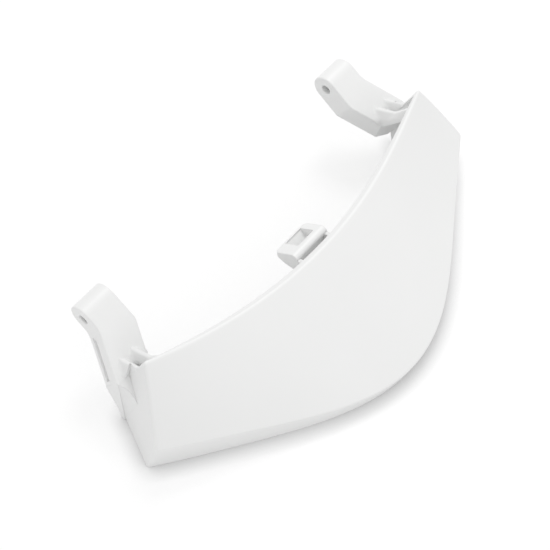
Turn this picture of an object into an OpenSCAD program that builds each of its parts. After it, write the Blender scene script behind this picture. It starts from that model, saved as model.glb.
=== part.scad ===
// Washing machine door handle, one white injection moulding.
// The handle lies on its rim: x runs along the grip, +y points back to the pivot arms, +z is up.
// The origin is in the middle of the handle's box, on the plane of the rim.

/* [Grip panel] */
// Length of the rim from end to end
rim_len = 230; // [200:1:276]
// How much shorter than the rim the outer crease is
crease_inset = 3.8; // [0:0.1:8]
// How much shorter than the rim the inner edge is
inner_inset = 36.6; // [26:0.1:46]
// Distance from the inner edge to the crease at the middle
panel_depth = 56.5; // [46:0.1:68]
// How far the crease sweeps back from its middle to its ends
crease_sweep = 56.8; // [47:0.1:62]
// How far the inner edge sweeps back from its middle to its ends
inner_sweep = 18.5; // [12:0.1:23]
// Height of the inner edge at its middle
inner_mid_h = 49.5; // [41:0.1:56]
// Height of the inner edge at its ends
inner_end_h = 57.6; // [54:0.1:64]
// Height of the outer crease at its middle
crease_mid_h = 7.6; // [5:0.1:12]
// Height of the outer crease at its ends
crease_end_h = 22.5; // [16:0.1:27]
// How far the rim is set back under the crease at its middle
rim_mid_back = 2.1; // [0:0.1:4]
// How far the rim is set back under the crease at its ends
rim_end_back = 6; // [3:0.1:8]
// Crown of the panel between its two long edges
crown = 0.6; // [0:0.1:1.5]

/* [Walls and edges] */
// Thickness of the panel
panel_t = 2.8; // [2:0.1:3.4]
// Thickness of the rim wall and the end walls
wall_t = 2.5; // [1.8:0.1:3.2]
// How far the edge face along the inner edge runs back at its middle
lip_back = 3.4; // [2.6:0.1:4.2]
// How far the edge face along the inner edge drops at its middle
lip_drop = 2.2; // [1.6:0.1:3]
// Length of the edge face at the ends
lip_end = 2.6; // [2.2:0.1:3.2]
// Width of the thickened band under the inner edge
bead_w = 6; // [4:0.5:9]
// Radius between the panel and the edge face
edge_r = 2; // [0.8:0.1:2.4]
// Radius between the panel and the edge face at the ends
edge_end_r = 0.8; // [0.4:0.1:1]
// Radius of the outer crease
crease_r = 1.2; // [0.6:0.1:2]

/* [Pivot arms] */
// Distance between the inner faces of the two pivot bosses
boss_gap = 154; // [146:0.5:162]
// Width of each pivot boss along the pin
boss_w = 16.5; // [13.5:0.1:19.8]
// Outer radius of the pivot bosses, and half the depth of the arms
boss_r = 7.4; // [6.1:0.1:8.9]
// Diameter of the bore for the hinge pin
bore_d = 4.8; // [3:0.1:6]
// Distance of the pin behind the middle of the inner edge
pin_back = 59; // [55:0.5:65]
// Height of the pin above the rim
pin_h = 43.7; // [40:0.1:48]
// Slope of the arms down from the pin
arm_slope = 34.2; // [31:0.1:37]
// Distance from the pin to the bend on the arm's inner side
inner_bend = 14; // [12:0.5:17]
// Distance from the pin to the bend on the arm's outer side
outer_bend = 7; // [5:0.5:10]
// Outward angle of the arms past their bend
arm_splay = 24.5; // [21:0.5:28]
// Radius of the bend on the arm's outer side
bend_r = 14; // [4:1:20]
// Depth of the shallow channel in the arm's outer face
channel_depth = 1.3; // [0.6:0.1:2.2]
// Distance of the foot's front face behind the middle of the inner edge
foot_back = 29.8; // [27:0.1:32]

/* [Gussets] */
// Thickness of the gussets between arm and panel
gusset_t = 1.6; // [1:0.1:2.4]
// Distance of the inner gusset from the pivot boss's outer face, towards the middle
gusset_inset = 5.5; // [4:0.1:8]
// Distance between the two gussets of an arm
gusset_gap = 7.2; // [6:0.1:7.5]

/* [Catch] */
// Width of the catch
catch_w = 21.6; // [18:0.1:26]
// How far the catch stands out behind the inner edge
catch_out = 19; // [17:0.1:21]
// Height of the catch's lower face
catch_low_h = 36.4; // [34:0.1:38]
// Height of the catch's back edge
catch_back_h = 40.2; // [39:0.1:42]
// Height of the bar's axis below the inner edge
bar_drop = 4.8; // [4:0.1:6]
// Radius of the round bar along the catch
bar_r = 2.3; // [1.9:0.1:2.6]
// Width of the slot between the panel's edge and the bar
slot_w = 2.7; // [2.2:0.1:3.6]
// Thickness of the catch's side walls
cheek_t = 2.2; // [1.6:0.1:3]
// Length of the pocket in the catch
pocket_len = 10.8; // [8:0.1:12]
// Distance of the pocket from the catch's left side
pocket_start = 6.4; // [3:0.1:7]
// How far the pocket's sloping floor drops towards the bar
pocket_drop = 2.8; // [0.5:0.1:3.2]
// Thickness of the wall behind the pocket
pocket_wall = 1.2; // [0.8:0.1:2]
// Radius of the catch's two back corners, seen from above
catch_corner_r = 2.6; // [1:0.1:4]

/* [Hidden] */
$fn = 64;

// Half lengths of the three long edges
rim_half = rim_len / 2;
crease_half = (rim_len - crease_inset) / 2;
inner_half = (rim_len - inner_inset) / 2;

// How each long edge leaves its middle: the share added to its square term, and its tip's share
inner_back_bow = [0.19, 0];
inner_height_bow = [-0.92, 0];
crease_back_bow = [0.71, 0.395];
crease_height_bow = [0.13, 0];
rim_back_bow = [0.55, 0.295];

// Rings along the grip, and the share of the half length where the end walls begin
steps = 40;
fillet_steps = 3;
crown_steps = 3;
wall_u = 1 - 1.15 * wall_t / inner_half;

// Small overlaps, and sizes larger than the handle for cutting shapes
tiny = 0.15;
sink = 1;
reach = 150;
far_back = 75;

// The edge face at the ends runs down the end wall's back edge
end_lip = lip_end * unit([foot_back, arm_top_h(foot_back)] - [inner_sweep, inner_end_h]);

// Planes of the pivot bosses' faces
boss_in = boss_gap / 2;
boss_out = boss_in + boss_w;

// The arm's inner side ends at the closing face, its outer side turns straight at the foot
splay_k = tan(arm_splay);
closing_k = 0.49;
closing_start = 30.8;
closing_end = 38.7;
closing_lean = 4.5;
outer_end = 29.3;
foot_out = boss_out + (outer_end - outer_bend) * splay_k;
closing_x = boss_in + (closing_start - inner_bend) * splay_k;
channel_ends = [9, 13, outer_end - 1.6];
channel_low = -0.86 * boss_r;
channel_high = -0.05 * boss_r;

// Gussets: where they leave the arm's front face, the step to the bend in their top edge,
// and how much they widen on either side for each millimetre below that edge
gusset_start = 22;
gusset_step = [-12.1, 5.7];
gusset_flare = 0.28;
gusset_reach = 16;

function unit(v) = v / norm(v);
function mix(a, b, t) = a + (b - a) * t;

// A curve that rises from 0 at the middle to 1 at either end
function bow(u, k) = (1 + k[0]) * u ^ 2 - (k[0] + k[1]) * u ^ 4 + k[1] * u ^ 6;

// Points of the three long edges at a share u of their half length, from -1 to 1
function inner_at(u) = [
    u * inner_half,
    inner_sweep * bow(u, inner_back_bow),
    mix(inner_mid_h, inner_end_h, bow(u, inner_height_bow))];
function crease_at(u) = [
    u * crease_half,
    -panel_depth + crease_sweep * bow(u, crease_back_bow),
    mix(crease_mid_h, crease_end_h, bow(u, crease_height_bow))];
function rim_at(u) = [
    u * rim_half,
    -panel_depth + rim_mid_back
        + (crease_sweep + rim_end_back - rim_mid_back) * bow(u, rim_back_bow),
    0];

// Side views (y, z) of the edges, and of the low back edge of the edge face
function side(p) = [p[1], p[2]];
function top_s(u) = side(inner_at(u));
function crease_s(u) = side(crease_at(u));
function rim_s(u) = side(rim_at(u));
function low_s(u) = top_s(u) + mix([lip_back, -lip_drop], end_lip, u ^ 4);

// Side-view directions of the panel, the edge face and the rim wall, with inward normals
function left_of(d) = [-d[1], d[0]];
function panel_dir(u) = unit(top_s(u) - crease_s(u));
function panel_in(u) = -left_of(panel_dir(u));
function lip_dir(u) = unit(low_s(u) - top_s(u));
function rim_dir(u) = unit(rim_s(u) - crease_s(u));
function rim_in(u) = left_of(rim_dir(u));

// Each section lies in the plane through its edge points; this gives x for a side-view point
function section_normal(u) =
    cross(crease_at(u) - inner_at(u), rim_at(u) - crease_at(u));
function in_section(c, p, n) =
    [c[0] - (n[1] * (p[0] - c[1]) + n[2] * (p[1] - c[2])) / n[0], p[0], p[1]];
function to_section(u, pts) =
    let (c = crease_at(u), n = section_normal(u)) [for (p = pts) in_section(c, p, n)];

// Where two side-view lines meet, each given by a point and a direction
function cross2(a, b) = a[0] * b[1] - a[1] * b[0];
function meet(p, d, q, e) = p + d * cross2(q - p, e) / cross2(d, e);

// A corner c of a side-view outline between a and b, rounded with an arc
function fillet(a, c, b, r) =
    let (p = unit(a - c), q = unit(b - c), half = acos(p * q) / 2, turn = 180 - 2 * half,
         mid = c + unit(p + q) * r / sin(half),
         s = c + p * r / tan(half) - mid, e = c + q * r / tan(half) - mid)
    [for (i = [0 : fillet_steps]) let (w = turn * i / fillet_steps)
        mid + (s * sin(turn - w) + e * sin(w)) / sin(turn)];

// Side-view point of the arm: a along it from the pin, n out of its middle plane
function on_arm_s(a, n) = [
    pin_back - a * cos(arm_slope) - n * sin(arm_slope),
    pin_h - a * sin(arm_slope) + n * cos(arm_slope)];

// Height of the arm's front face at a distance y behind the lip's middle
function arm_top_h(y) = pin_h + (y - pin_back) * tan(arm_slope) + boss_r / cos(arm_slope);

// Outline of the solid form of the grip at one section
function form_outline(u) =
    let (h = arm_top_h(foot_back) * low_s(u)[1] / low_s(1)[1])
    concat(
        [[foot_back + sink, 0], [foot_back + sink, h - 2 * sink], [foot_back, h], low_s(u)],
        fillet(low_s(u), top_s(u), crease_s(u), mix(edge_r, edge_end_r, u ^ 4)),
        [for (k = [1 : crown_steps]) let (t = k / (crown_steps + 1))
            mix(top_s(u), crease_s(u), t) - panel_in(u) * crown * 4 * t * (1 - t)],
        fillet(top_s(u), crease_s(u), rim_s(u), crease_r),
        [rim_s(u)]);

// Distance from the middle of the inner edge back to the middle of the handle's box
box_middle = (pin_back + boss_r + min([for (p = form_outline(0)) p[0]])) / 2;

// Outline of the hollow behind the panel at one section, open to the back and below
function hollow_outline(u) =
    let (under = crease_s(u) + panel_in(u) * panel_t,
         front = meet(under, panel_dir(u), crease_s(u) + rim_in(u) * wall_t, rim_dir(u)),
         bead = top_s(u) + panel_in(u) * panel_t - panel_dir(u) * bead_w,
         edge = low_s(u) - lip_dir(u) * tiny)
    [meet(front, rim_dir(u), [0, -sink], [1, 0]), [far_back, -sink], [far_back, edge[1]],
     edge, bead, front];

// A closed solid through a row of rings that all have the same number of points.
// Both end faces fan out from the rings' last point.
module loft(rings) {
    n = len(rings[0]);
    last = len(rings) - 1;
    points = [for (ring = rings) each ring];
    sides = [for (k = [0 : last - 1]) for (j = [0 : n - 1])
        let (a = k * n + j, b = k * n + (j + 1) % n)
        each [[a, b + n, b], [a, a + n, b + n]]];
    start = [for (j = [0 : n - 1]) (n - 1 + j) % n];
    finish = [for (j = [0 : n - 1]) last * n + n - 1 - j];
    polyhedron(points, concat(sides, [start, finish]), convexity = 6);
}

// Panel, lip, rim wall and end walls: the form of the grip less the hollow behind it
module grip_shell() {
    difference() {
        loft([for (k = [0 : steps]) let (u = -1 + 2 * k / steps)
            to_section(u, form_outline(u))]);
        loft([for (k = [0 : steps]) let (u = wall_u * (-1 + 2 * k / steps))
            to_section(u, hollow_outline(u))]);
    }
}

// A side-view outline given thickness along x
module plate(x, thickness, outline) {
    translate([x, 0, 0]) rotate([90, 0, 90]) linear_extrude(thickness) polygon(outline);
}

// Side-view point in the middle of the panel's wall at x, a share t of the way to the crease
function in_panel_s(x, t) =
    let (u = x / mix(inner_half, crease_half, t))
    mix(top_s(u), crease_s(u), t) + panel_in(u) * panel_t / 2;

// Turns a shape from the arm's axes: x away from the pin, y along the pin, z out of the front
module on_arm() {
    translate([0, pin_back, pin_h]) rotate([arm_slope, 0, 0]) rotate([0, 0, -90]) children();
}

// The space beyond a plane through p, on the side its normal n points to
module beyond(p, n) {
    translate(p) rotate([0, -asin(n[2]), atan2(n[1], n[0])])
        translate([0, -reach, -reach]) cube([reach, 2 * reach, 2 * reach]);
}

// The space in front of the foot, outside a plane that lies a depth inside the end wall's face
module outside_end_wall(depth) {
    n = unit(section_normal(1));
    intersection() {
        beyond(rim_at(1) - n * depth, n);
        translate([0, foot_back - reach, -reach]) cube([2 * reach, reach, 2 * reach]);
    }
}

// The space in front of the arm's closing face, which leans along the splayed inner side
module before_closing_face() {
    on_arm() beyond([closing_start, closing_x, boss_r], unit([
        2 * boss_r, -2 * boss_r * closing_k, closing_lean * (1 - closing_k * splay_k)]));
}

// The arm: a round-ended profile along the pin, cut to its outline from above the front face
module arm_form() {
    intersection() {
        translate([boss_in - reach / 2, pin_back, pin_h]) rotate([arm_slope, 0, 0])
            rotate([90, 0, 90]) linear_extrude(reach) {
                circle(boss_r);
                translate([-reach, -boss_r]) square([reach, 2 * boss_r]);
            }
        on_arm() translate([0, 0, -2 * boss_r]) linear_extrude(4 * boss_r) polygon([
            [-2 * boss_r, boss_in],
            [inner_bend, boss_in],
            [closing_end, boss_in + (closing_end - inner_bend) * splay_k],
            [closing_end, foot_out],
            [outer_end, foot_out],
            each fillet([outer_end, foot_out], [outer_bend, boss_out],
                [-2 * boss_r, boss_out], bend_r),
            [-2 * boss_r, boss_out]]);
    }
}

// Long shallow channel in the arm's outer face
module arm_channel() {
    floor_x = [for (a = channel_ends) boss_out + (a - outer_bend) * splay_k - channel_depth];
    on_arm() translate([0, 0, channel_low]) linear_extrude(channel_high - channel_low) polygon([
        [channel_ends[0], floor_x[0] + channel_depth],
        [channel_ends[1], floor_x[1]],
        [channel_ends[2], floor_x[2]],
        [channel_ends[2], foot_out + sink],
        [channel_ends[0], foot_out + sink]]);
}

// Web and front wall that carry the arm's outer side down to the rim plane
module arm_foot() {
    plate(foot_out - wall_t, wall_t, [
        [foot_back, 0], on_arm_s(outer_end, 0), on_arm_s(outer_end - 2, -boss_r)]);
    top = arm_top_h(foot_back) - boss_r;
    translate([0, foot_back + wall_t, 0]) rotate([90, 0, 0]) linear_extrude(wall_t) polygon([
        [foot_out, 0], [foot_out, top], [foot_out - 3.4 * wall_t, top], [foot_out - wall_t, 0]]);
}

// Web from the arm's front face up to the panel's underside, wider towards its root.
// It joins the panel between the shares top and bottom of the way from inner edge to crease.
module gusset(x, top, bottom) {
    tip = on_arm_s(gusset_start, boss_r);
    low = closing_start + closing_k * (x - closing_x) - 0.5;
    half = gusset_t / 2;
    root = half + gusset_flare * gusset_reach;
    intersection() {
        plate(x - root - sink, 2 * (root + sink), [
            tip, tip + gusset_step, in_panel_s(x, top), in_panel_s(x, bottom),
            on_arm_s(low, boss_r), on_arm_s(low - 1, boss_r - 1),
            on_arm_s(gusset_start + 1.5, boss_r - 1)]);
        translate([x, tip[0], tip[1]])
            rotate([atan2(-gusset_step[1], -gusset_step[0]), 0, 0])
                translate([0, far_back, 0]) rotate([90, 0, 0]) linear_extrude(2 * far_back) polygon([
                    [-half, far_back], [-half, -tiny], [-root, -gusset_reach],
                    [root, -gusset_reach], [half, -tiny], [half, far_back]]);
    }
}

module right_arm() {
    difference() {
        union() {
            difference() {
                arm_form();
                before_closing_face();
                outside_end_wall(sink);
            }
            arm_foot();
        }
        arm_channel();
        translate([boss_in - sink, pin_back, pin_h]) rotate([0, 90, 0])
            cylinder(boss_w + 2 * sink, d = bore_d);
    }
    gusset(boss_out - gusset_inset, 0.03, 0.14);
    difference() {
        gusset(boss_out - gusset_inset + gusset_gap, 0.15, 0.25);
        outside_end_wall(0.3);
    }
}

// The catch seen from above: its two back corners are round
module catch_plan() {
    half = catch_w / 2;
    linear_extrude(reach) {
        translate([-half, 0]) square([catch_w, catch_out - catch_corner_r]);
        translate([catch_corner_r - half, 0]) square([catch_w - 2 * catch_corner_r, catch_out]);
        for (x = [catch_corner_r - half, half - catch_corner_r])
            translate([x, catch_out - catch_corner_r]) circle(catch_corner_r);
    }
}

// Hook block behind the panel: a round bar with a slot before it and a pocket behind it
module catch() {
    bar = [lip_back + slot_w + bar_r, inner_mid_h - bar_drop];
    back = [catch_out, catch_back_h];
    shoulder = bar + bar_r * unit(left_of(unit(back - bar)));
    body_front = bar[0] - 0.8 * bar_r;
    pocket_front = bar[0] + 0.9 * bar_r;
    pocket_back = catch_out - pocket_wall;
    difference() {
        union() {
            intersection() {
                plate(-catch_w, 2 * catch_w, [
                    [body_front, catch_low_h], [0.68 * catch_out, catch_low_h],
                    [0.9 * catch_out, catch_low_h + 1.2], [1.1 * catch_out, catch_low_h + 4],
                    mix(shoulder, back, 1.4), shoulder, bar, [body_front, bar[1] - 1]]);
                catch_plan();
            }
            for (x = [-catch_w / 2, catch_w / 2 - cheek_t]) plate(x, cheek_t, [
                [bar[0], catch_low_h], bar, [lip_back + slot_w / 2, bar[1] + 0.3 * bar_r],
                in_panel_s(0, 0.04), in_panel_s(0, 0.22),
                [in_panel_s(0, 0.17)[0], catch_low_h + 1]]);
            translate([-catch_w / 2, bar[0], bar[1]]) rotate([0, 90, 0])
                cylinder(catch_w, r = bar_r);
        }
        plate(pocket_start - catch_w / 2, pocket_len, [
            [pocket_front, catch_back_h - pocket_drop], [pocket_back, catch_back_h],
            [pocket_back, reach], [pocket_front, reach]]);
    }
}

module door_handle() {
    color("white") translate([0, -box_middle, 0]) {
        grip_shell();
        right_arm();
        mirror([1, 0, 0]) right_arm();
        catch();
    }
}

door_handle();
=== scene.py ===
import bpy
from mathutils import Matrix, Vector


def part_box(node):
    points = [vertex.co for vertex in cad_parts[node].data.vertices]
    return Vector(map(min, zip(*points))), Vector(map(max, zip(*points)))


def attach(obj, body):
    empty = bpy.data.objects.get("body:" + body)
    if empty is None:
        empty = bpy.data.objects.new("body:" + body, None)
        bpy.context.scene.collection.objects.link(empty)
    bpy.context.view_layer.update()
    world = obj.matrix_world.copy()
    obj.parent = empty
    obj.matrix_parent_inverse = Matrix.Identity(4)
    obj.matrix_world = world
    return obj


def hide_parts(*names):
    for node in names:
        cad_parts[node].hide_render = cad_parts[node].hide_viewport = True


bl_info = {
    "name": "Washing Machine Door Handle",
    "version": (1, 0, 0),
    "blender": (4, 5, 0),
    "location": "View3D > Sidebar > Door Handle",
    "description": "Builds the white pull handle of a washing machine door around its frame",
    "category": "Object",
}

from math import acos, atan2, ceil, cos, pi, radians, sin, sqrt, tan

import bmesh
import bpy
from bpy.props import FloatProperty, FloatVectorProperty, IntProperty, PointerProperty
from mathutils import Matrix, Vector

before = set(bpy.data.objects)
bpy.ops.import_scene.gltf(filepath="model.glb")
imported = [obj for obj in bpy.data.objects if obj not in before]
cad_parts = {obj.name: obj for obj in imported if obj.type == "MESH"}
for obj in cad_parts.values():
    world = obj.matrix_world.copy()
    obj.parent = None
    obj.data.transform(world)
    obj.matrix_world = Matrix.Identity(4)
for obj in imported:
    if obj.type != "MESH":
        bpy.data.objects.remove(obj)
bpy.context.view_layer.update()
LOW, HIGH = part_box("door_handle")

MM = 0.001
SINK = 1.0
FAR = 150.0


def unit(v):
    return v.normalized()


def mix(a, b, t):
    return a + (b - a) * t


def cross2(a, b):
    return a.x * b.y - a.y * b.x


def left_of(d):
    return Vector((-d.y, d.x))


def meet(p, d, q, e):
    """Where the line through p along d meets the line through q along e."""
    return p + d * (cross2(q - p, e) / cross2(d, e))


def fillet(a, c, b, radius, steps):
    """Points of an arc that rounds the corner c between a and b."""
    p, q = unit(a - c), unit(b - c)
    half = acos(max(-1.0, min(1.0, p.dot(q)))) / 2
    turn = max(1e-6, pi - 2 * half)
    middle = c + unit(p + q) * (radius / sin(half))
    start = c + p * (radius / tan(half)) - middle
    end = c + q * (radius / tan(half)) - middle
    return [
        middle + (start * sin(turn - turn * i / steps) + end * sin(turn * i / steps)) / sin(turn)
        for i in range(steps + 1)
    ]


def rounded(points, radii, steps):
    """A closed outline whose corners are rounded where their radius isn't 0."""
    out = []
    for i, (c, radius) in enumerate(zip(points, radii)):
        if radius:
            out += fillet(points[i - 1], c, points[(i + 1) % len(points)], radius, steps)
        else:
            out.append(c)
    return out


class Grip:
    """The grip's three long edges and its sections, in millimetres behind the inner edge."""

    rim_half = 115.0
    crease_half = 113.1
    inner_half = 96.7
    panel_depth = 56.46
    crease_sweep = 56.8
    inner_sweep = 18.5
    inner_heights = (49.5, 57.6)
    crease_heights = (7.6, 22.5)
    rim_backs = (2.1, 6.0)
    crown = 0.6
    wall = 2.5
    lip_back = 3.4
    lip_drop = 2.2
    lip_end = 2.6
    bead = 6.0
    edge_radii = (2.0, 0.8)
    crease_radius = 1.2

    def __init__(self, arm, settings):
        self.arm = arm
        self.panel_t = settings.panel_thickness / MM
        self.end_radius = settings.end_radius / MM
        self.wall_u = 1 - 1.15 * self.wall / self.inner_half
        down = Vector((arm.foot_back, arm.top_h(arm.foot_back)))
        self.end_lip = self.lip_end * unit(
            down - Vector((self.inner_sweep, self.inner_heights[1]))
        )

    @staticmethod
    def bow(u, square, tip):
        """A curve that rises from 0 at the middle to 1 at either end."""
        return (1 + square) * u**2 - (square + tip) * u**4 + tip * u**6

    def inner(self, u):
        return Vector((
            u * self.inner_half,
            self.inner_sweep * self.bow(u, 0.19, 0),
            mix(*self.inner_heights, self.bow(u, -0.92, 0)),
        ))

    def crease(self, u):
        return Vector((
            u * self.crease_half,
            -self.panel_depth + self.crease_sweep * self.bow(u, 0.71, 0.395),
            mix(*self.crease_heights, self.bow(u, 0.13, 0)),
        ))

    def rim(self, u):
        sweep = self.crease_sweep + self.rim_backs[1] - self.rim_backs[0]
        return Vector((
            u * self.rim_half,
            -self.panel_depth + self.rim_backs[0] + sweep * self.bow(u, 0.55, 0.295),
            0,
        ))

    def side_view(self, u):
        """Inner edge, crease, rim and the edge face's low edge, seen from the side."""
        top, crease, rim = (Vector(p(u)[1:]) for p in (self.inner, self.crease, self.rim))
        low = top + mix(Vector((self.lip_back, -self.lip_drop)), self.end_lip, u**4)
        return top, crease, rim, low

    def normal(self, u):
        a, b, c = self.inner(u), self.crease(u), self.rim(u)
        return (b - a).cross(c - b)

    def ring(self, u, outline):
        """Puts a side-view outline into the plane through the three edges at u."""
        c, n = self.crease(u), self.normal(u)
        return [
            Vector((c.x - (n.y * (p.x - c.y) + n.z * (p.y - c.z)) / n.x, p.x, p.y))
            for p in outline
        ]

    def skin(self, u, before, corners, after, shrink=0.0):
        """Outer face from the edge face's low edge over the panel and down to the rim."""
        low, top, crease, rim = corners
        panel_in = -left_of(unit(top - crease))
        crest = [
            mix(top, crease, k / 9) - panel_in * self.crown * 4 * (k / 9) * (1 - k / 9)
            for k in range(1, 9)
        ]
        edge_r = mix(*self.edge_radii, u**4)
        return (
            fillet(before, low, top, max(0.05, 0.4 - shrink), 3)
            + fillet(low, top, crease, max(0.1, edge_r - shrink), 8)
            + crest
            + fillet(top, crease, rim, max(0.1, self.crease_radius - shrink), 5)
            + fillet(crease, rim, after, max(0.05, 0.4 - shrink), 3)
        )

    def open_ring(self, u):
        """The C-shaped section between the end walls: outer part, then inner part."""
        top, crease, rim, low = self.side_view(u)
        panel_dir = unit(top - crease)
        panel_in = -left_of(panel_dir)
        rim_dir = unit(rim - crease)
        under = crease + panel_in * self.panel_t
        front = meet(under, panel_dir, crease + left_of(rim_dir) * self.wall, rim_dir)
        bead = top + panel_in * self.panel_t - panel_dir * self.bead
        foot = meet(front, rim_dir, Vector((0, 0)), Vector((1, 0)))
        outer = self.skin(u, bead, (low, top, crease, rim), foot)
        inner = (
            fillet(rim, foot, front, 0.3, 3)
            + fillet(foot, front, bead, 1.5, 5)
            + fillet(front, bead, low, 2.0, 4)
        )
        return outer, inner

    def closed_ring(self, u, shrink=0.0):
        """The solid section of an end wall, drawn in by shrink all round its outer side."""
        top, crease, rim, low = self.side_view(u)
        back = self.arm.foot_back
        h = self.arm.top_h(back) * low.y / self.side_view(1)[3].y
        end, ground = Vector((back, h)), Vector((back, 0))
        corners = [low, top, crease, rim]
        row = [end] + corners + [ground]
        moved = []
        for a, p, b in zip(row, row[1:], row[2:]):
            n1, n2 = left_of(unit(p - a)), left_of(unit(b - p))
            n = unit(n1 + n2)
            moved.append(p + n * (shrink / n.dot(n1)))
        moved[0] += unit(end - low) * (2 * shrink)
        top_in = left_of(unit(low - end)) * shrink
        end = end + top_in
        outer = self.skin(u, end, moved, ground + Vector((0, shrink)), shrink)
        rest = [
            Vector((back + SINK, shrink)), Vector((back + SINK, h - 2 * SINK)), end
        ]
        return outer, rest


class Arm:
    """The pivot arms' sizes, in millimetres."""

    boss_gap = 154.0
    boss_r = 7.4
    pin_back = 59.0
    pin_h = 43.7
    slope = radians(34.2)
    inner_bend = 14.0
    outer_bend = 7.0
    splay = tan(radians(24.5))
    bend_r = 14.0
    channel_depth = 1.6
    foot_back = 29.8
    foot_fill = 13.0
    closing_k = 0.49
    closing_start = 30.8
    closing_end = 38.7
    closing_lean = 4.5
    outer_end = 29.3
    gusset_start = 22.0
    gusset_step = Vector((-12.1, 5.7))
    gusset_flare = 0.28
    gusset_t = 1.6
    gusset_root = 2.2
    gusset_bend_r = 5.0
    gusset_reach = 7.0
    gusset_inset = 5.5
    gusset_gap = 7.2
    inner_bend_r = 3.0

    def __init__(self, settings):
        self.boss_w = settings.boss_width / MM
        self.bore_r = settings.bore_diameter / MM / 2
        self.boss_in = self.boss_gap / 2
        self.boss_out = self.boss_in + self.boss_w
        self.foot_out = self.boss_out + (self.outer_end - self.outer_bend) * self.splay
        self.closing_x = self.boss_in + (self.closing_start - self.inner_bend) * self.splay

    def at(self, along, out):
        """Side-view point: along the arm from the pin, out of its middle plane."""
        return Vector((
            self.pin_back - along * cos(self.slope) - out * sin(self.slope),
            self.pin_h - along * sin(self.slope) + out * cos(self.slope),
        ))

    def inner_x(self, along):
        return self.boss_in + (along - self.inner_bend) * self.splay

    def top_h(self, y):
        return self.pin_h + (y - self.pin_back) * tan(self.slope) + self.boss_r / cos(self.slope)

    def place(self, along, x, out):
        """A point of the arm's own axes in the handle's axes."""
        p = self.at(along, out)
        return Vector((x, p.x, p.y))


def new_object(name, bm):
    mesh = bpy.data.meshes.new(name)
    bmesh.ops.recalc_face_normals(bm, faces=bm.faces)
    bm.to_mesh(mesh)
    bm.free()
    obj = bpy.data.objects.new(name, mesh)
    bpy.context.scene.collection.objects.link(obj)
    return obj


def solid_between(name, start, end):
    """A closed solid between two matching outlines."""
    bm = bmesh.new()
    a = [bm.verts.new(p) for p in start]
    b = [bm.verts.new(p) for p in end]
    n = len(a)
    for i in range(n):
        j = (i + 1) % n
        bm.faces.new((a[i], a[j], b[j], b[i]))
    bm.faces.new(a)
    bm.faces.new(list(reversed(b)))
    return new_object(name, bm)


def plate(name, x, thickness, outline):
    """A side-view outline given thickness along x."""
    return solid_between(
        name,
        [Vector((x, p[0], p[1])) for p in outline],
        [Vector((x + thickness, p[0], p[1])) for p in outline],
    )


def apply_modifiers(obj):
    """Replaces an object's mesh with the result of its modifiers."""
    depsgraph = bpy.context.evaluated_depsgraph_get()
    mesh = bpy.data.meshes.new_from_object(obj.evaluated_get(depsgraph))
    old = obj.data
    obj.modifiers.clear()
    obj.data = mesh
    bpy.data.meshes.remove(old)


def combine(obj, other, operation):
    """Joins, cuts or intersects obj with other, and removes other."""
    m = obj.modifiers.new("Boolean", "BOOLEAN")
    m.operation = operation
    m.solver = "MANIFOLD"
    m.object = other
    apply_modifiers(obj)
    bpy.data.objects.remove(other)
    if not obj.data.polygons:
        raise RuntimeError(f"{obj.name} came out empty")
    return obj


def soften(obj, width, angle, segments=3):
    """Rounds the sharp edges of a solid and tidies what the boolean cuts left."""
    bm = bmesh.new()
    bm.from_mesh(obj.data)
    bmesh.ops.remove_doubles(bm, verts=bm.verts, dist=0.004)
    bmesh.ops.dissolve_limit(
        bm, angle_limit=radians(0.6), verts=bm.verts, edges=bm.edges, use_dissolve_boundaries=False
    )
    bm.to_mesh(obj.data)
    bm.free()
    m = obj.modifiers.new("Bevel", "BEVEL")
    m.width = width
    m.segments = segments
    m.limit_method = "ANGLE"
    m.angle_limit = radians(angle)
    m.use_clamp_overlap = True
    m.miter_outer = "MITER_ARC"
    apply_modifiers(obj)
    return obj


def mirrored(obj, name):
    copy = obj.copy()
    copy.data = obj.data.copy()
    copy.name = name
    copy.data.transform(Matrix.Scale(-1, 4, (1, 0, 0)))
    copy.data.flip_normals()
    bpy.context.scene.collection.objects.link(copy)
    return copy


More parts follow.
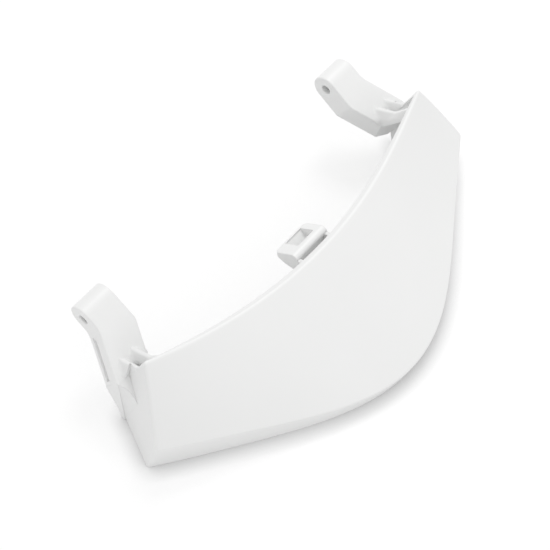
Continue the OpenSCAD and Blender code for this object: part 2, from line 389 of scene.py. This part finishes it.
def grip_shell(grip, sections):
    """Panel, edge face, rim wall and end walls as one closed mesh."""
    bm = bmesh.new()

    def row(u, outline):
        return [bm.verts.new(p) for p in grip.ring(u, outline)]

    def strip(start, end, closed=False):
        for i in range(len(start) if closed else len(start) - 1):
            j = (i + 1) % len(start)
            bm.faces.new((start[i], start[j], end[j], end[i]))

    r = grip.end_radius
    turns = [radians(w) for w in (0, 18, 36, 54, 72, 90)]
    caps = [(1 - r * (1 - cos(w)) / grip.inner_half, r * (1 - sin(w))) for w in turns]
    caps.append((grip.wall_u + 0.4 / grip.inner_half, 0))
    ends = {}
    for side in (-1, 1):
        rings = []
        for u, shrink in caps:
            outer, rest = grip.closed_ring(u, shrink)
            rings.append(row(side * u, outer + rest))
        outer, inner = grip.open_ring(grip.wall_u)
        outer_row, inner_row = row(side * grip.wall_u, outer), row(side * grip.wall_u, inner)
        rest_row = row(side * grip.wall_u, grip.closed_ring(grip.wall_u)[1])
        rings.append(outer_row + rest_row)
        bm.faces.new(rings[0])
        for start, end in zip(rings, rings[1:]):
            strip(start, end, closed=True)
        bm.faces.new([outer_row[0]] + list(reversed(inner_row)) + [outer_row[-1]] + rest_row)
        ends[side] = outer_row, inner_row
    outer_row, inner_row = ends[-1]
    for k in range(1, sections + 1):
        if k == sections:
            next_outer, next_inner = ends[1]
        else:
            u = grip.wall_u * (-1 + 2 * k / sections)
            outer, inner = grip.open_ring(u)
            next_outer, next_inner = row(u, outer), row(u, inner)
        strip(outer_row, next_outer)
        strip(inner_row, next_inner)
        bm.faces.new((outer_row[0], inner_row[-1], next_inner[-1], next_outer[0]))
        bm.faces.new((outer_row[-1], inner_row[0], next_inner[0], next_outer[-1]))
        outer_row, inner_row = next_outer, next_inner
    return new_object("grip_shell", bm)


def end_wall_space(grip, depth):
    """The space in front of the foot, outside a plane inside the right end wall's face."""
    n = unit(grip.normal(1))
    if n.x < 0:
        n = -n
    p = grip.rim(1) - n * depth
    along = unit(Vector((0, 0, 1)) - n * n.z)
    across = n.cross(along)
    corners = [
        p + along * a * FAR + across * b * FAR for a, b in ((-1, -1), (1, -1), (1, 1), (-1, 1))
    ]
    space = solid_between("end_wall_space", corners, [c + n * FAR for c in corners])
    back = grip.arm.foot_back
    keep = plate("front_space", -FAR, 3 * FAR, [
        (back - 2 * FAR, -2 * FAR), (back, -2 * FAR), (back, 2 * FAR), (back - 2 * FAR, 2 * FAR)])
    return combine(space, keep, "INTERSECT")


def web_sections(grip, arm, x, top, bottom, rows):
    """Pairs of side-view points: down the middle of a web from its ridge to its foot."""

    def in_panel(t):
        u = x / mix(grip.inner_half, grip.crease_half, t)
        edge, crease, rim, low = grip.side_view(u)
        return mix(edge, crease, t) - left_of(unit(edge - crease)) * grip.panel_t / 2

    r = arm.boss_r
    tip = arm.at(arm.gusset_start, r)
    bend = tip + arm.gusset_step
    high, low = in_panel(top), in_panel(bottom)
    reach = arm.closing_start + arm.closing_k * (x - arm.closing_x) - 0.5
    foot = arm.at(reach, r - 0.8)
    split = 0.6
    line = [tip] + fillet(tip, bend, high, arm.gusset_bend_r, 8) + [high]
    lengths = [0.0]
    for p, q in zip(line, line[1:]):
        lengths.append(lengths[-1] + (q - p).length)
    pairs = []
    for k in range(rows + 1):
        t = k / rows
        along = t * lengths[-1]
        i = max(j for j in range(len(line) - 1) if lengths[j] <= along + 1e-9)
        ridge = mix(line[i], line[i + 1], (along - lengths[i]) / (lengths[i + 1] - lengths[i]))
        if t < split:
            under = mix(arm.at(arm.gusset_start, r - 0.8), foot, t / split)
        else:
            under = mix(foot, low, (t - split) / (1 - split))
        pairs.append((ridge, under, min(1.0, max(0.0, (split - t) / 0.2))))
    return pairs


def gusset(grip, arm, x, top, bottom, name):
    """Web from the arm's front face up to the panel's underside, with a hollow flare."""
    rows, steps = 28, 12
    normal = arm.at(0, 1) - arm.at(0, 0)
    face = arm.at(0, arm.boss_r)
    bm = bmesh.new()
    loops = []
    for ridge, under, rooted in web_sections(grip, arm, x, top, bottom, rows):
        height = max(0.0, (ridge - face).dot(normal))
        half = arm.gusset_t / 2 * min(1.0, 0.25 + height / 3)
        root = min(arm.gusset_root, 0.7 * height + 0.02) * rooted + 0.01
        length = (ridge - under).length
        side = []
        for j in range(steps + 1):
            depth = length * (j / steps) ** 1.5
            p = mix(ridge, under, depth / length)
            width = half * sqrt(max(0.0, 1 - max(0.0, 1 - depth / half) ** 2))
            above = max(0.0, (p - face).dot(normal))
            if above < root:
                width += root * (1 - sqrt(1 - (1 - above / root) ** 2))
            side.append((p, width + arm.gusset_flare * min(depth, arm.gusset_reach)))
        left = [bm.verts.new((x - w, p.x, p.y)) for p, w in reversed(side)]
        right = [bm.verts.new((x + w, p.x, p.y)) for p, w in side[1:]]
        loops.append(left + right)
    for start, end in zip(loops, loops[1:]):
        for i in range(len(start)):
            j = (i + 1) % len(start)
            bm.faces.new((start[i], start[j], end[j], end[i]))
    bm.faces.new(loops[0])
    bm.faces.new(list(reversed(loops[-1])))
    return new_object(name, bm)


def at_share(line, a):
    """The second coordinate of a line of points at the first coordinate a."""
    for p, q in zip(line, line[1:]):
        if a <= q.x:
            return mix(p.y, q.y, (a - p.x) / (q.x - p.x))
    return line[-1].y


def arm_form(arm, soft):
    """The arm's body: a round-ended bar between two bent sides, with rounded edges."""
    r = arm.boss_r
    far = -2 * r
    inside = [Vector((far, arm.boss_in))] + fillet(
        Vector((far, arm.boss_in)), Vector((arm.inner_bend, arm.boss_in)),
        Vector((arm.closing_end, arm.inner_x(arm.closing_end))), arm.inner_bend_r, 8
    ) + [Vector((arm.closing_end, arm.inner_x(arm.closing_end)))]
    outside = [Vector((far, arm.boss_out))] + fillet(
        Vector((far, arm.boss_out)), Vector((arm.outer_bend, arm.boss_out)),
        Vector((arm.outer_end, arm.foot_out)), arm.bend_r, 14
    ) + [Vector((arm.outer_end, arm.foot_out)), Vector((arm.closing_end, arm.foot_out))]

    straight = [arm.closing_end * (1 - k / 60) for k in range(60)]
    arc = [pi * k / 48 for k in range(49)]

    def profile(inset):
        q = r - inset
        top = [(a, q) for a in straight]
        tip = [(-q * sin(w), q * cos(w)) for w in arc]
        return top + tip + [(a, -n) for a, n in reversed(top)]

    turns = [radians(w) for w in (0, 22.5, 45, 67.5, 90)]
    rings = [
        [(a, at_share(inside, a) + soft * (1 - cos(w)), n)
         for a, n in profile(soft * (1 - sin(w)))] for w in turns
    ] + [
        [(a, at_share(outside, a) - soft * (1 - cos(w)), n)
         for a, n in profile(soft * (1 - sin(w)))] for w in reversed(turns)
    ]
    bm = bmesh.new()
    rings = [[bm.verts.new(arm.place(*p)) for p in ring] for ring in rings]
    n = len(rings[0])
    for start, end in zip(rings, rings[1:]):
        for i in range(n):
            j = (i + 1) % n
            bm.faces.new((start[i], start[j], end[j], end[i]))
    for ring in (rings[0], rings[-1]):
        for i in range(n // 2):
            corners = [ring[i], ring[i + 1], ring[n - 2 - i], ring[n - 1 - i]]
            if i + 1 == n - 2 - i:
                corners.pop(2)
            bm.faces.new(corners)
    return new_object("pivot_arm", bm)


def bore_cutter(arm, soft):
    """A round hole along x, whose two ends open out to a rounded edge."""
    r = arm.bore_r
    turns = [radians(w) for w in (0, 30, 60, 90)]
    painted_contact_shadow = [(arm.boss_in + soft * (1 - cos(w)), r + soft * (1 - sin(w))) for w in turns]
    far = [(arm.boss_out - soft * (1 - cos(w)), r + soft * (1 - sin(w))) for w in reversed(turns)]
    rows = [(arm.boss_in - SINK, r + soft)] + painted_contact_shadow + far + [(arm.boss_out + SINK, r + soft)]
    bm = bmesh.new()
    steps = 48
    rings = [
        [bm.verts.new((x, arm.pin_back + q * cos(2 * pi * k / steps),
                       arm.pin_h + q * sin(2 * pi * k / steps))) for k in range(steps)]
        for x, q in rows
    ]
    for start, end in zip(rings, rings[1:]):
        for i in range(steps):
            j = (i + 1) % steps
            bm.faces.new((start[i], start[j], end[j], end[i]))
    bm.faces.new(rings[0])
    bm.faces.new(list(reversed(rings[-1])))
    return new_object("bore", bm)


def foot_fillet(grip, arm):
    """Fills the corner between the end wall and the foot's front wall with a hollow curve."""
    n = unit(grip.normal(1))
    c = grip.rim(1) - n * 0.06
    back = arm.foot_back + 0.06
    levels, steps = 10, 10

    def in_wall(y, z):
        return Vector((c.x - (n.y * (y - c.y) + n.z * (z - c.z)) / n.x, y, z))

    def ring(share, z):
        corner = in_wall(back, z)
        front = in_wall(back - arm.foot_fill * share, z)
        side = Vector((corner.x + (arm.foot_out - 0.05 - in_wall(back, arm.top_h(back)).x) * share,
                       back, z))
        bend = mix(corner, (front + side) / 2, 0.55)
        arc = [front * (1 - t) ** 2 + bend * 2 * t * (1 - t) + side * t**2
               for t in (k / steps for k in range(steps + 1))]
        return arc + [corner + Vector((-0.3, 0.9, 0)) * max(share, 0.05)]

    bm = bmesh.new()
    high = arm.top_h(back)
    rings = []
    for k in range(levels + 1):
        points = ring(max(0.02, k / levels), high * k / levels)
        rings.append([bm.verts.new(p) for p in points])
    m = len(rings[0])
    for start, end in zip(rings, rings[1:]):
        for i in range(m):
            j = (i + 1) % m
            bm.faces.new((start[i], start[j], end[j], end[i]))
    bm.faces.new(rings[0])
    bm.faces.new(list(reversed(rings[-1])))
    fill = new_object("foot_fillet", bm)
    above = plate("space_above", 0, 2 * FAR, [
        (back + FAR, arm.top_h(back + FAR) - 0.05), (back + FAR, 2 * FAR),
        (back - FAR, 2 * FAR), (back - FAR, arm.top_h(back - FAR) - 0.05)])
    return combine(fill, above, "DIFFERENCE")


def right_arm(grip, arm, settings):
    """One pivot arm with its boss, bore, channel, foot and gussets."""
    r = arm.boss_r
    soft = settings.arm_radius / MM
    form = arm_form(arm, soft)

    start = arm.place(arm.closing_start, arm.closing_x, r)
    outward = arm.place(arm.closing_start + arm.closing_k, arm.closing_x + 1, r) - start
    lean = arm.place(
        arm.closing_start + arm.closing_lean,
        arm.closing_x + arm.closing_lean * arm.splay, -r) - start
    n = unit(outward.cross(lean))
    if n.y > 0:
        n = -n
    along, across = unit(outward), n.cross(unit(outward))
    corners = [start + along * a * FAR + across * b * FAR
               for a, b in ((-1, -1), (1, -1), (1, 1), (-1, 1))]
    combine(form, solid_between("closing_space", corners, [c + n * FAR for c in corners]),
            "DIFFERENCE")
    combine(form, end_wall_space(grip, SINK), "DIFFERENCE")

    wall = grip.wall
    back = arm.foot_back
    top = arm.top_h(back) - r
    combine(form, plate("foot_web", arm.foot_out - wall, wall, [
        (back + SINK, 0), (back + SINK, top), tuple(arm.at(arm.outer_end, 0)),
        tuple(arm.at(arm.outer_end, -r))]), "UNION")
    front = [(arm.foot_out, 0), (arm.foot_out, top), (arm.foot_out - 3.4 * wall, top),
             (arm.foot_out - wall, 0)]
    combine(form, solid_between(
        "foot_front", [Vector((p[0], back, p[1])) for p in front],
        [Vector((p[0], back + wall, p[1])) for p in front]), "UNION")

    combine(form, foot_fillet(grip, arm), "UNION")

    ends = (9.0, 13.0, arm.outer_end - 1.6)
    floor = [arm.boss_out + (a - arm.outer_bend) * arm.splay - arm.channel_depth for a in ends]
    channel = [(ends[0], floor[0] + arm.channel_depth), (ends[1], floor[1]), (ends[2], floor[2]),
               (ends[2], arm.foot_out + SINK), (ends[0], arm.foot_out + SINK)]
    combine(form, solid_between(
        "arm_channel", [arm.place(a, x, -0.5 * r) for a, x in channel],
        [arm.place(a, x, -0.05 * r) for a, x in channel]), "DIFFERENCE")
    combine(form, bore_cutter(arm, soft), "DIFFERENCE")

    x = arm.boss_out - arm.gusset_inset
    outer = gusset(grip, arm, x + arm.gusset_gap, 0.15, 0.25, "outer_gusset")
    combine(outer, end_wall_space(grip, 0.03), "DIFFERENCE")
    combine(form, gusset(grip, arm, x, 0.03, 0.14, "inner_gusset"), "UNION")
    combine(form, outer, "UNION")
    return form


def catch_block(grip, settings):
    """Hook block behind the panel: a round bar, a slot before it and a pocket behind it."""
    width = settings.catch_width / MM
    out, low_h, back_h, bar_r = 19.0, 36.4, 40.2, 2.55
    slot, cheek, corner = 2.2, 2.2, 2.6
    bar = Vector((grip.lip_back + slot + bar_r, grip.inner_heights[0] - 4.8))
    back = Vector((out, back_h))
    shoulder = bar + bar_r * unit(left_of(unit(back - bar)))
    front = bar.x - 0.8 * bar_r
    body = plate("catch_block", -width, 2 * width, [
        (front, low_h), (0.68 * out, low_h), (0.9 * out, low_h + 1.2), (1.1 * out, low_h + 4),
        tuple(mix(shoulder, back, 1.4)), tuple(shoulder), tuple(bar), (front, bar.y - 1)])
    half = width / 2
    plan = rounded(
        [Vector((-half, 0)), Vector((half, 0)), Vector((half, out)), Vector((-half, out))],
        [0, 0, corner, corner], 8)
    combine(body, solid_between(
        "catch_plan", [Vector((p.x, p.y, 0)) for p in plan],
        [Vector((p.x, p.y, 100)) for p in plan]), "INTERSECT")
    pocket_front = bar.x + 0.9 * bar_r
    pocket_back = out - 1.2
    pocket = [Vector((pocket_front, back_h - 2.8)), Vector((pocket_back, back_h)),
              Vector((pocket_back, 80)), Vector((pocket_front, 80))]
    soften(body, settings.edge_radius / MM, 25)
    combine(body, plate("pocket", 6.4 - half, 10.8, pocket), "DIFFERENCE")

    def in_panel(t):
        edge, crease, rim, low = grip.side_view(0)
        return mix(edge, crease, t) - left_of(unit(edge - crease)) * grip.panel_t / 2

    for x in (-half, half - cheek):
        side = plate("catch_cheek", x, cheek, [
            (bar.x, low_h), tuple(bar), (grip.lip_back + slot / 2, bar.y + 0.3 * bar_r),
            tuple(in_panel(0.04)), tuple(in_panel(0.22)), (in_panel(0.17).x, low_h + 1)])
        soften(side, 0.35, 25, 2)
        combine(body, side, "UNION")
    steps = 40
    ring = [(bar.x + bar_r * cos(2 * pi * k / steps), bar.y + bar_r * sin(2 * pi * k / steps))
            for k in range(steps)]
    rod = plate("catch_bar", -half, width, ring)
    soften(rod, 0.35, 25, 3)
    return combine(body, rod, "UNION")


class HandleSettings(bpy.types.PropertyGroup):
    """Sizes of the moulding."""

    length: FloatProperty(
        name="Length", description="Length of the rim from end to end",
        default=HIGH.x - LOW.x, unit="LENGTH")
    panel_thickness: FloatProperty(
        name="Panel Thickness", description="Thickness of the panel",
        default=0.0028, unit="LENGTH")
    boss_width: FloatProperty(
        name="Boss Width", description="Width of each pivot boss along the pin",
        default=0.0165, unit="LENGTH")
    bore_diameter: FloatProperty(
        name="Bore Diameter", description="Diameter of the bore for the hinge pin",
        default=0.0048, unit="LENGTH")
    catch_width: FloatProperty(
        name="Catch Width", description="Width of the catch behind the panel",
        default=0.0216, unit="LENGTH")
    edge_radius: FloatProperty(
        name="Edge Radius", description="Rounding of the moulding's sharp edges",
        default=0.0005, unit="LENGTH")
    arm_radius: FloatProperty(
        name="Arm Radius", description="Rounding of the edges of the arms and their bores",
        default=0.0007, unit="LENGTH")
    end_radius: FloatProperty(
        name="End Radius", description="Rounding between the panel and the end walls",
        default=0.0012, unit="LENGTH")
    sections: IntProperty(
        name="Sections", description="Cross-sections along the grip",
        default=96, min=24, max=200)


class PlasticSettings(bpy.types.PropertyGroup):
    """Finish of the white plastic."""

    colour: FloatVectorProperty(
        name="Colour", description="Colour of the plastic", subtype="COLOR", size=3,
        min=0, max=1, default=(0.86, 0.862, 0.858))
    roughness: FloatProperty(
        name="Roughness", description="Roughness of the satin surface",
        default=0.36, min=0, max=1, subtype="FACTOR")
    joint_radius: FloatProperty(
        name="Joint Radius", description="Softening of joints and edges in the shading",
        default=0.0006, unit="LENGTH")
    grain: FloatProperty(
        name="Grain", description="Depth of the fine moulded grain",
        default=0.00001, unit="LENGTH", precision=6)


class StageSettings(bpy.types.PropertyGroup):
    """Floor, light and camera."""

    floor_size: FloatProperty(
        name="Floor Size", description="Side of the square floor", default=6.0, unit="LENGTH")
    floor_tone: FloatProperty(
        name="Floor Tone", description="Share of the light that the seen floor throws back",
        default=0.36, min=0, max=1)
    floor_lift: FloatProperty(
        name="Floor Lift", description="Light added to the floor for the camera only",
        default=0.655, min=0)
    # Reach of the ambient occlusion that paints the contact shadow into the floor's camera-only
    # glow.
    contact: FloatProperty(
        name="Contact Shadow", description="Width of the soft shadow next to the handle",
        default=0.009, unit="LENGTH")
    sky: FloatProperty(
        name="Sky", description="Strength of the white light from all around",
        default=0.82, min=0)
    key_power: FloatProperty(
        name="Key Power", description="Power of the lamp overhead",
        default=2.3, min=0, unit="POWER")
    front_power: FloatProperty(
        name="Front Power", description="Power of the soft lamp in front",
        default=1.0, min=0, unit="POWER")
    side_power: FloatProperty(
        name="Side Power", description="Power of the faint lamp on the left",
        default=0.2, min=0, unit="POWER")
    lens: FloatProperty(
        name="Lens", description="Focal length of the camera on a 36 mm sensor",
        default=85.424, min=10)


def node_of(tree, kind, **values):
    node = tree.nodes.new(kind)
    for name, value in values.items():
        node.inputs[name].default_value = value
    return node


def white_plastic(settings):
    """Satin white plastic with a fine moulded grain and faint unevenness in tone."""
    mat = bpy.data.materials.new("white_plastic")
    mat.use_nodes = True
    tree = mat.node_tree
    shader = tree.nodes["Principled BSDF"]
    place = tree.nodes.new("ShaderNodeTexCoord")

    tone = node_of(tree, "ShaderNodeTexNoise", Scale=22.0, Detail=3.0, Roughness=0.5)
    tree.links.new(place.outputs["Object"], tone.inputs["Vector"])
    ramp = tree.nodes.new("ShaderNodeValToRGB")
    r, g, b = settings.colour
    ramp.color_ramp.elements[0].position = 0.3
    ramp.color_ramp.elements[0].color = (r * 0.985, g * 0.985, b * 0.985, 1)
    ramp.color_ramp.elements[1].position = 0.7
    ramp.color_ramp.elements[1].color = (r, g, b, 1)
    tree.links.new(tone.outputs["Fac"], ramp.inputs["Fac"])
    tree.links.new(ramp.outputs["Color"], shader.inputs["Base Color"])

    grain = node_of(tree, "ShaderNodeTexNoise", Scale=2600.0, Detail=2.0, Roughness=0.6)
    tree.links.new(place.outputs["Object"], grain.inputs["Vector"])
    corners = node_of(tree, "ShaderNodeBevel", Radius=settings.joint_radius)
    corners.samples = 8
    bump = node_of(tree, "ShaderNodeBump", Strength=0.35, Distance=settings.grain)
    tree.links.new(corners.outputs["Normal"], bump.inputs["Normal"])
    tree.links.new(grain.outputs["Fac"], bump.inputs["Height"])
    tree.links.new(bump.outputs["Normal"], shader.inputs["Normal"])

    wear = node_of(tree, "ShaderNodeTexNoise", Scale=60.0, Detail=4.0)
    tree.links.new(place.outputs["Object"], wear.inputs["Vector"])
    satin = node_of(tree, "ShaderNodeMapRange", **{
        "From Min": 0.3, "From Max": 0.7,
        "To Min": settings.roughness - 0.03, "To Max": settings.roughness + 0.03})
    tree.links.new(wear.outputs["Fac"], satin.inputs["Value"])
    tree.links.new(satin.outputs["Result"], shader.inputs["Roughness"])

    shader.inputs["IOR"].default_value = 1.46
    shader.inputs["Specular IOR Level"].default_value = 0.5
    return mat


class HANDLE_OT_moulding(bpy.types.Operator):
    """Build the handle's single white moulding"""

    bl_idname = "handle.moulding"
    bl_label = "Build Moulding"

    def execute(self, context):
        settings = context.scene.handle_settings
        arm = Arm(settings)
        grip = Grip(arm, settings)
        shell = grip_shell(grip, settings.sections)
        right = right_arm(grip, arm, settings)
        left = mirrored(right, "left_pivot_arm")
        combine(shell, right, "UNION")
        combine(shell, left, "UNION")
        combine(shell, catch_block(grip, settings), "UNION")
        shell.name = "handle_moulding"

        back = arm.pin_back + arm.boss_r - (HIGH.y / MM)
        mesh = shell.data
        mesh.transform(Matrix.Scale(MM, 4) @ Matrix.Translation((0, -back, 0)))
        bm = bmesh.new()
        bm.from_mesh(mesh)
        bmesh.ops.remove_doubles(bm, verts=bm.verts, dist=2e-6)
        bmesh.ops.recalc_face_normals(bm, faces=bm.faces)
        bm.to_mesh(mesh)
        bm.free()
        mesh.shade_smooth()
        mesh.set_sharp_from_angle(angle=radians(32))
        normals = shell.modifiers.new("Weighted Normal", "WEIGHTED_NORMAL")
        normals.keep_sharp = True
        normals.weight = 80
        mesh.materials.clear()
        mesh.materials.append(white_plastic(context.scene.plastic_settings))
        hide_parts("door_handle")
        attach(shell, "root")
        return {"FINISHED"}


class HANDLE_OT_stage(bpy.types.Operator):
    """Set the pale floor, the soft light and the camera"""

    bl_idname = "handle.stage"
    bl_label = "Set Stage"

    def execute(self, context):
        settings = context.scene.stage_settings
        self.floor(settings)
        self.sky(context.scene, settings)
        self.lamp("key_lamp", settings.key_power, 0.3, (0.42, 0.3, 0.92))
        self.lamp("front_lamp", settings.front_power, 0.8, (-0.12, -0.8, 0.62))
        self.lamp("side_lamp", settings.side_power, 0.4, (-0.95, 0.32, 0.16))
        self.camera(context.scene, settings)
        context.scene.view_settings.view_transform = "Standard"
        return {"FINISHED"}

    def floor(self, settings):
        bm = bmesh.new()
        bmesh.ops.create_grid(bm, x_segments=2, y_segments=2, size=settings.floor_size / 2)
        obj = new_object("floor", bm)
        obj.location.z = -0.00005
        mat = bpy.data.materials.new("pale_floor")
        mat.use_nodes = True
        tree = mat.node_tree
        tree.nodes.clear()
        out = tree.nodes.new("ShaderNodeOutputMaterial")
        rays = tree.nodes.new("ShaderNodeLightPath")
        seen = rays.outputs["Is Camera Ray"]
        for other in ("Is Glossy Ray", "Is Transmission Ray"):
            either = node_of(tree, "ShaderNodeMath")
            either.operation = "MAXIMUM"
            tree.links.new(seen, either.inputs[0])
            tree.links.new(rays.outputs[other], either.inputs[1])
            seen = either.outputs[0]
        matt = node_of(tree, "ShaderNodeBsdfDiffuse", Color=(0.82, 0.82, 0.82, 1))
        pale = node_of(tree, "ShaderNodeBsdfDiffuse", Color=(*[settings.floor_tone] * 3, 1))
        # For the camera the floor glows, and ambient occlusion dims that glow next to the handle:
        # a painted contact shadow, not shade cast by the lamps.
        painted_contact_shadow = node_of(tree, "ShaderNodeAmbientOcclusion", Distance=settings.contact)
        painted_contact_shadow.samples = 12
        lift = node_of(tree, "ShaderNodeEmission", Strength=settings.floor_lift)
        tree.links.new(painted_contact_shadow.outputs["Color"], lift.inputs["Color"])
        both = tree.nodes.new("ShaderNodeAddShader")
        tree.links.new(pale.outputs[0], both.inputs[0])
        tree.links.new(lift.outputs[0], both.inputs[1])
        choose = tree.nodes.new("ShaderNodeMixShader")
        tree.links.new(seen, choose.inputs[0])
        tree.links.new(matt.outputs[0], choose.inputs[1])
        tree.links.new(both.outputs[0], choose.inputs[2])
        tree.links.new(choose.outputs[0], out.inputs["Surface"])
        obj.data.materials.append(mat)

    def sky(self, scene, settings):
        world = bpy.data.worlds.new("white_room")
        scene.world = world
        world.use_nodes = True
        tree = world.node_tree
        tree.nodes.clear()
        out = tree.nodes.new("ShaderNodeOutputWorld")
        light = node_of(tree, "ShaderNodeBackground", Color=(1, 1, 1, 1), Strength=settings.sky)
        seen = node_of(tree, "ShaderNodeBackground", Color=(1, 1, 1, 1), Strength=1.0)
        rays = tree.nodes.new("ShaderNodeLightPath")
        choose = tree.nodes.new("ShaderNodeMixShader")
        tree.links.new(rays.outputs["Is Camera Ray"], choose.inputs[0])
        tree.links.new(light.outputs[0], choose.inputs[1])
        tree.links.new(seen.outputs[0], choose.inputs[2])
        tree.links.new(choose.outputs[0], out.inputs["Surface"])

    def lamp(self, name, power, size, place):
        data = bpy.data.lights.new(name, "AREA")
        data.shape = "SQUARE"
        data.size = size
        data.energy = power
        lamp = bpy.data.objects.new(name, data)
        bpy.context.scene.collection.objects.link(lamp)
        lamp.location = place
        aim = Vector((0.0, 0.0, 0.02)) - lamp.location
        lamp.rotation_euler = aim.to_track_quat("-Z", "Y").to_euler()

    def camera(self, scene, settings):
        data = bpy.data.cameras.new("camera")
        data.lens = settings.lens
        data.sensor_width = 36
        data.clip_start = 0.01
        camera = bpy.data.objects.new("camera", data)
        scene.collection.objects.link(camera)
        right = Vector((0.63689604, -0.77094609, 0.00235769))
        up = Vector((0.6472102, 0.53633172, 0.54172617))
        look = Vector((0.41890618, 0.34349733, -0.84055172))
        axes = Matrix((right, up, -look)).transposed().to_4x4()
        camera.matrix_world = Matrix.Translation((-0.265815, -0.195503, 0.532845)) @ axes
        scene.camera = camera


class HANDLE_PT_panel(bpy.types.Panel):
    bl_label = "Door Handle"
    bl_idname = "HANDLE_PT_panel"
    bl_space_type = "VIEW_3D"
    bl_region_type = "UI"
    bl_category = "Door Handle"

    def draw(self, context):
        layout = self.layout
        scene = context.scene
        for group, title in (
            (scene.handle_settings, "Moulding"),
            (scene.plastic_settings, "Plastic"),
            (scene.stage_settings, "Stage"),
        ):
            box = layout.box()
            box.label(text=title)
            for name in group.__annotations__:
                box.prop(group, name)
        layout.operator(HANDLE_OT_moulding.bl_idname)
        layout.operator(HANDLE_OT_stage.bl_idname)


CLASSES = (
    HandleSettings,
    PlasticSettings,
    StageSettings,
    HANDLE_OT_moulding,
    HANDLE_OT_stage,
    HANDLE_PT_panel,
)


def register():
    for cls in CLASSES:
        bpy.utils.register_class(cls)
    bpy.types.Scene.handle_settings = PointerProperty(type=HandleSettings)
    bpy.types.Scene.plastic_settings = PointerProperty(type=PlasticSettings)
    bpy.types.Scene.stage_settings = PointerProperty(type=StageSettings)


def unregister():
    for name in ("stage_settings", "plastic_settings", "handle_settings"):
        delattr(bpy.types.Scene, name)
    for cls in reversed(CLASSES):
        bpy.utils.unregister_class(cls)


def main():
    register()
    bpy.ops.handle.moulding()
    bpy.ops.handle.stage()


if __name__ == "__main__":
    main()
